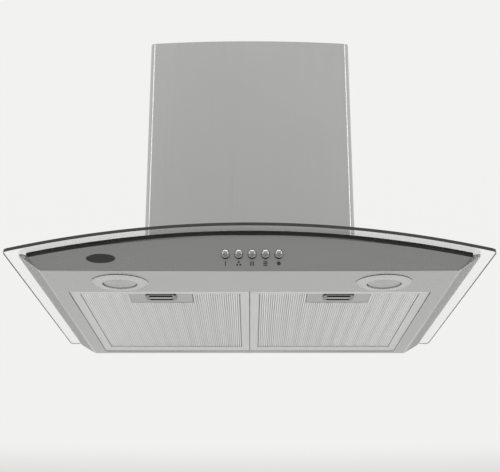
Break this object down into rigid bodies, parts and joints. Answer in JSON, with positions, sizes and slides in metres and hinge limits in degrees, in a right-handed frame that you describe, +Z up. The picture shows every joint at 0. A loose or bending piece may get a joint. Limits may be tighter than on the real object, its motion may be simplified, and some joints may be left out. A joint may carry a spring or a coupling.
{
  "type": "range hood",
  "caption": "Wall chimney range hood: bent clear glass canopy over a shallow stainless body with drop-down grease filters, round lamps, push buttons and a telescopic flue cover.",
  "frame": {"origin": "on the wall, midway between the two keyholes of the hanging plate, 160 mm above the underside of the body", "axes": "+X to the hood's right as seen from the cook, the glass's width; +Y into the wall; +Z up"},
  "size_m": [0.6, 0.518, 0.4635],
  "materials": {
    "brushed_stainless": "brushed",
    "galvanised_steel": "galvanised, dull spangle",
    "clear_glass": "clear tempered, dark polished edge",
    "black_trim": "satin black",
    "black_rubber": "matt",
    "satin_bezel": "satin chrome",
    "frosted_lens": "frosted",
    "led_board": "white",
    "white_enamel": "white enamel",
    "chrome": "polished",
    "filter_frame": "satin anodised",
    "filter_mesh": "expanded mesh",
    "latch_plate": "satin",
    "latch": "satin grey",
    "grey_plastic": "matt",
    "black_plastic": "matt",
    "plain_steel": "ground",
    "zinc_fastener": "zinc plated"
  },
  "bodies": {
    "canopy": {"canopy_shell": "brushed_stainless", "top_cover": "galvanised_steel", "glass_canopy": "clear_glass", "glass_trim": "black_trim", "glass_seal_left": "black_rubber", "glass_seal_right": "black_rubber", "glass_seal_front": "black_rubber", "lamp_bezel_left": "satin_bezel", "lamp_bezel_right": "satin_bezel", "lamp_lens_left": "frosted_lens", "lamp_lens_right": "frosted_lens", "lamp_housing_left": "white_enamel", "lamp_housing_right": "white_enamel", "lamp_led_left": "led_board", "lamp_led_right": "led_board", "switch_housing": "black_plastic", "switch_bracket": "galvanised_steel", "blower_box": "galvanised_steel", "scroll_housing": "grey_plastic", "fan_motor": "black_plastic", "motor_bracket": "galvanised_steel", "start_capacitor": "white_enamel", "outlet_collar": "grey_plastic", "collar_flange": "galvanised_steel", "damper_pin_front": "plain_steel", "damper_pin_back": "plain_steel", "terminal_box": "black_plastic", "terminal_stand": "galvanised_steel", "cable_gland": "grey_plastic", "chimney_lower": "brushed_stainless", "chimney_screw_left": "zinc_fastener", "chimney_screw_right": "zinc_fastener", "chimney_bracket_left": "galvanised_steel", "chimney_bracket_right": "galvanised_steel", "hanging_plate": "galvanised_steel", "hanging_spacer_left": "galvanised_steel", "hanging_spacer_right": "galvanised_steel"},
    "filter_left": {"filter_frame_left": "filter_frame", "filter_mesh_left": "filter_mesh", "latch_plate_left": "latch_plate"},
    "filter_right": {"filter_frame_right": "filter_frame", "filter_mesh_right": "filter_mesh", "latch_plate_right": "latch_plate"},
    "latch_left": {"latch_left": "latch"},
    "latch_right": {"latch_right": "latch"},
    "button_1": {"button_1": "chrome"},
    "button_2": {"button_2": "chrome"},
    "button_3": {"button_3": "chrome"},
    "button_4": {"button_4": "chrome"},
    "button_5": {"button_5": "chrome"},
    "fan_wheel": {"impeller": "grey_plastic", "motor_shaft": "plain_steel"},
    "damper_front": {"damper_flap_front": "black_plastic"},
    "damper_back": {"damper_flap_back": "black_plastic"},
    "chimney_upper": {"chimney_upper": "brushed_stainless"}
  },
  "joints": [
    {"name": "filter_left_swing", "type": "hinge", "parent": "canopy", "child": "filter_left", "pos_m": [-0.1203, -0.0215, -0.1557], "axis": [1, 0, 0], "range_deg": [0, 75]},
    {"name": "latch_left_slide", "type": "slide", "parent": "filter_left", "child": "latch_left", "axis": [0, 1, 0], "range_m": [0, 0.005], "stiffness_N_per_m": 250, "springref_m": -0.004},
    {"name": "filter_right_swing", "type": "hinge", "parent": "canopy", "child": "filter_right", "pos_m": [0.1203, -0.0215, -0.1557], "axis": [1, 0, 0], "range_deg": [0, 75]},
    {"name": "latch_right_slide", "type": "slide", "parent": "filter_right", "child": "latch_right", "axis": [0, 1, 0], "range_m": [0, 0.005], "stiffness_N_per_m": 250, "springref_m": -0.004},
    {"name": "button_1_press", "type": "slide", "parent": "canopy", "child": "button_1", "axis": [0, 1, 0], "range_m": [0, 0.003], "stiffness_N_per_m": 400, "springref_m": -0.002},
    {"name": "button_2_press", "type": "slide", "parent": "canopy", "child": "button_2", "axis": [0, 1, 0], "range_m": [0, 0.003], "stiffness_N_per_m": 400, "springref_m": -0.002},
    {"name": "button_3_press", "type": "slide", "parent": "canopy", "child": "button_3", "axis": [0, 1, 0], "range_m": [0, 0.003], "stiffness_N_per_m": 400, "springref_m": -0.002},
    {"name": "button_4_press", "type": "slide", "parent": "canopy", "child": "button_4", "axis": [0, 1, 0], "range_m": [0, 0.003], "stiffness_N_per_m": 400, "springref_m": -0.002},
    {"name": "button_5_press", "type": "slide", "parent": "canopy", "child": "button_5", "axis": [0, 1, 0], "range_m": [0, 0.003], "stiffness_N_per_m": 400, "springref_m": -0.002},
    {"name": "fan_spin", "type": "hinge", "parent": "canopy", "child": "fan_wheel", "pos_m": [0, -0.106, -0.01], "axis": [1, 0, 0], "continuous": true},
    {"name": "damper_front_swing", "type": "hinge", "parent": "canopy", "child": "damper_front", "pos_m": [0, -0.1105, 0.131], "axis": [-1, 0, 0], "range_deg": [0, 80]},
    {"name": "damper_back_swing", "type": "hinge", "parent": "canopy", "child": "damper_back", "pos_m": [0, -0.1015, 0.131], "axis": [1, 0, 0], "range_deg": [0, 80]},
    {"name": "chimney_extend", "type": "slide", "parent": "canopy", "child": "chimney_upper", "axis": [0, 0, 1], "range_m": [0, 0.3]}
  ]
}
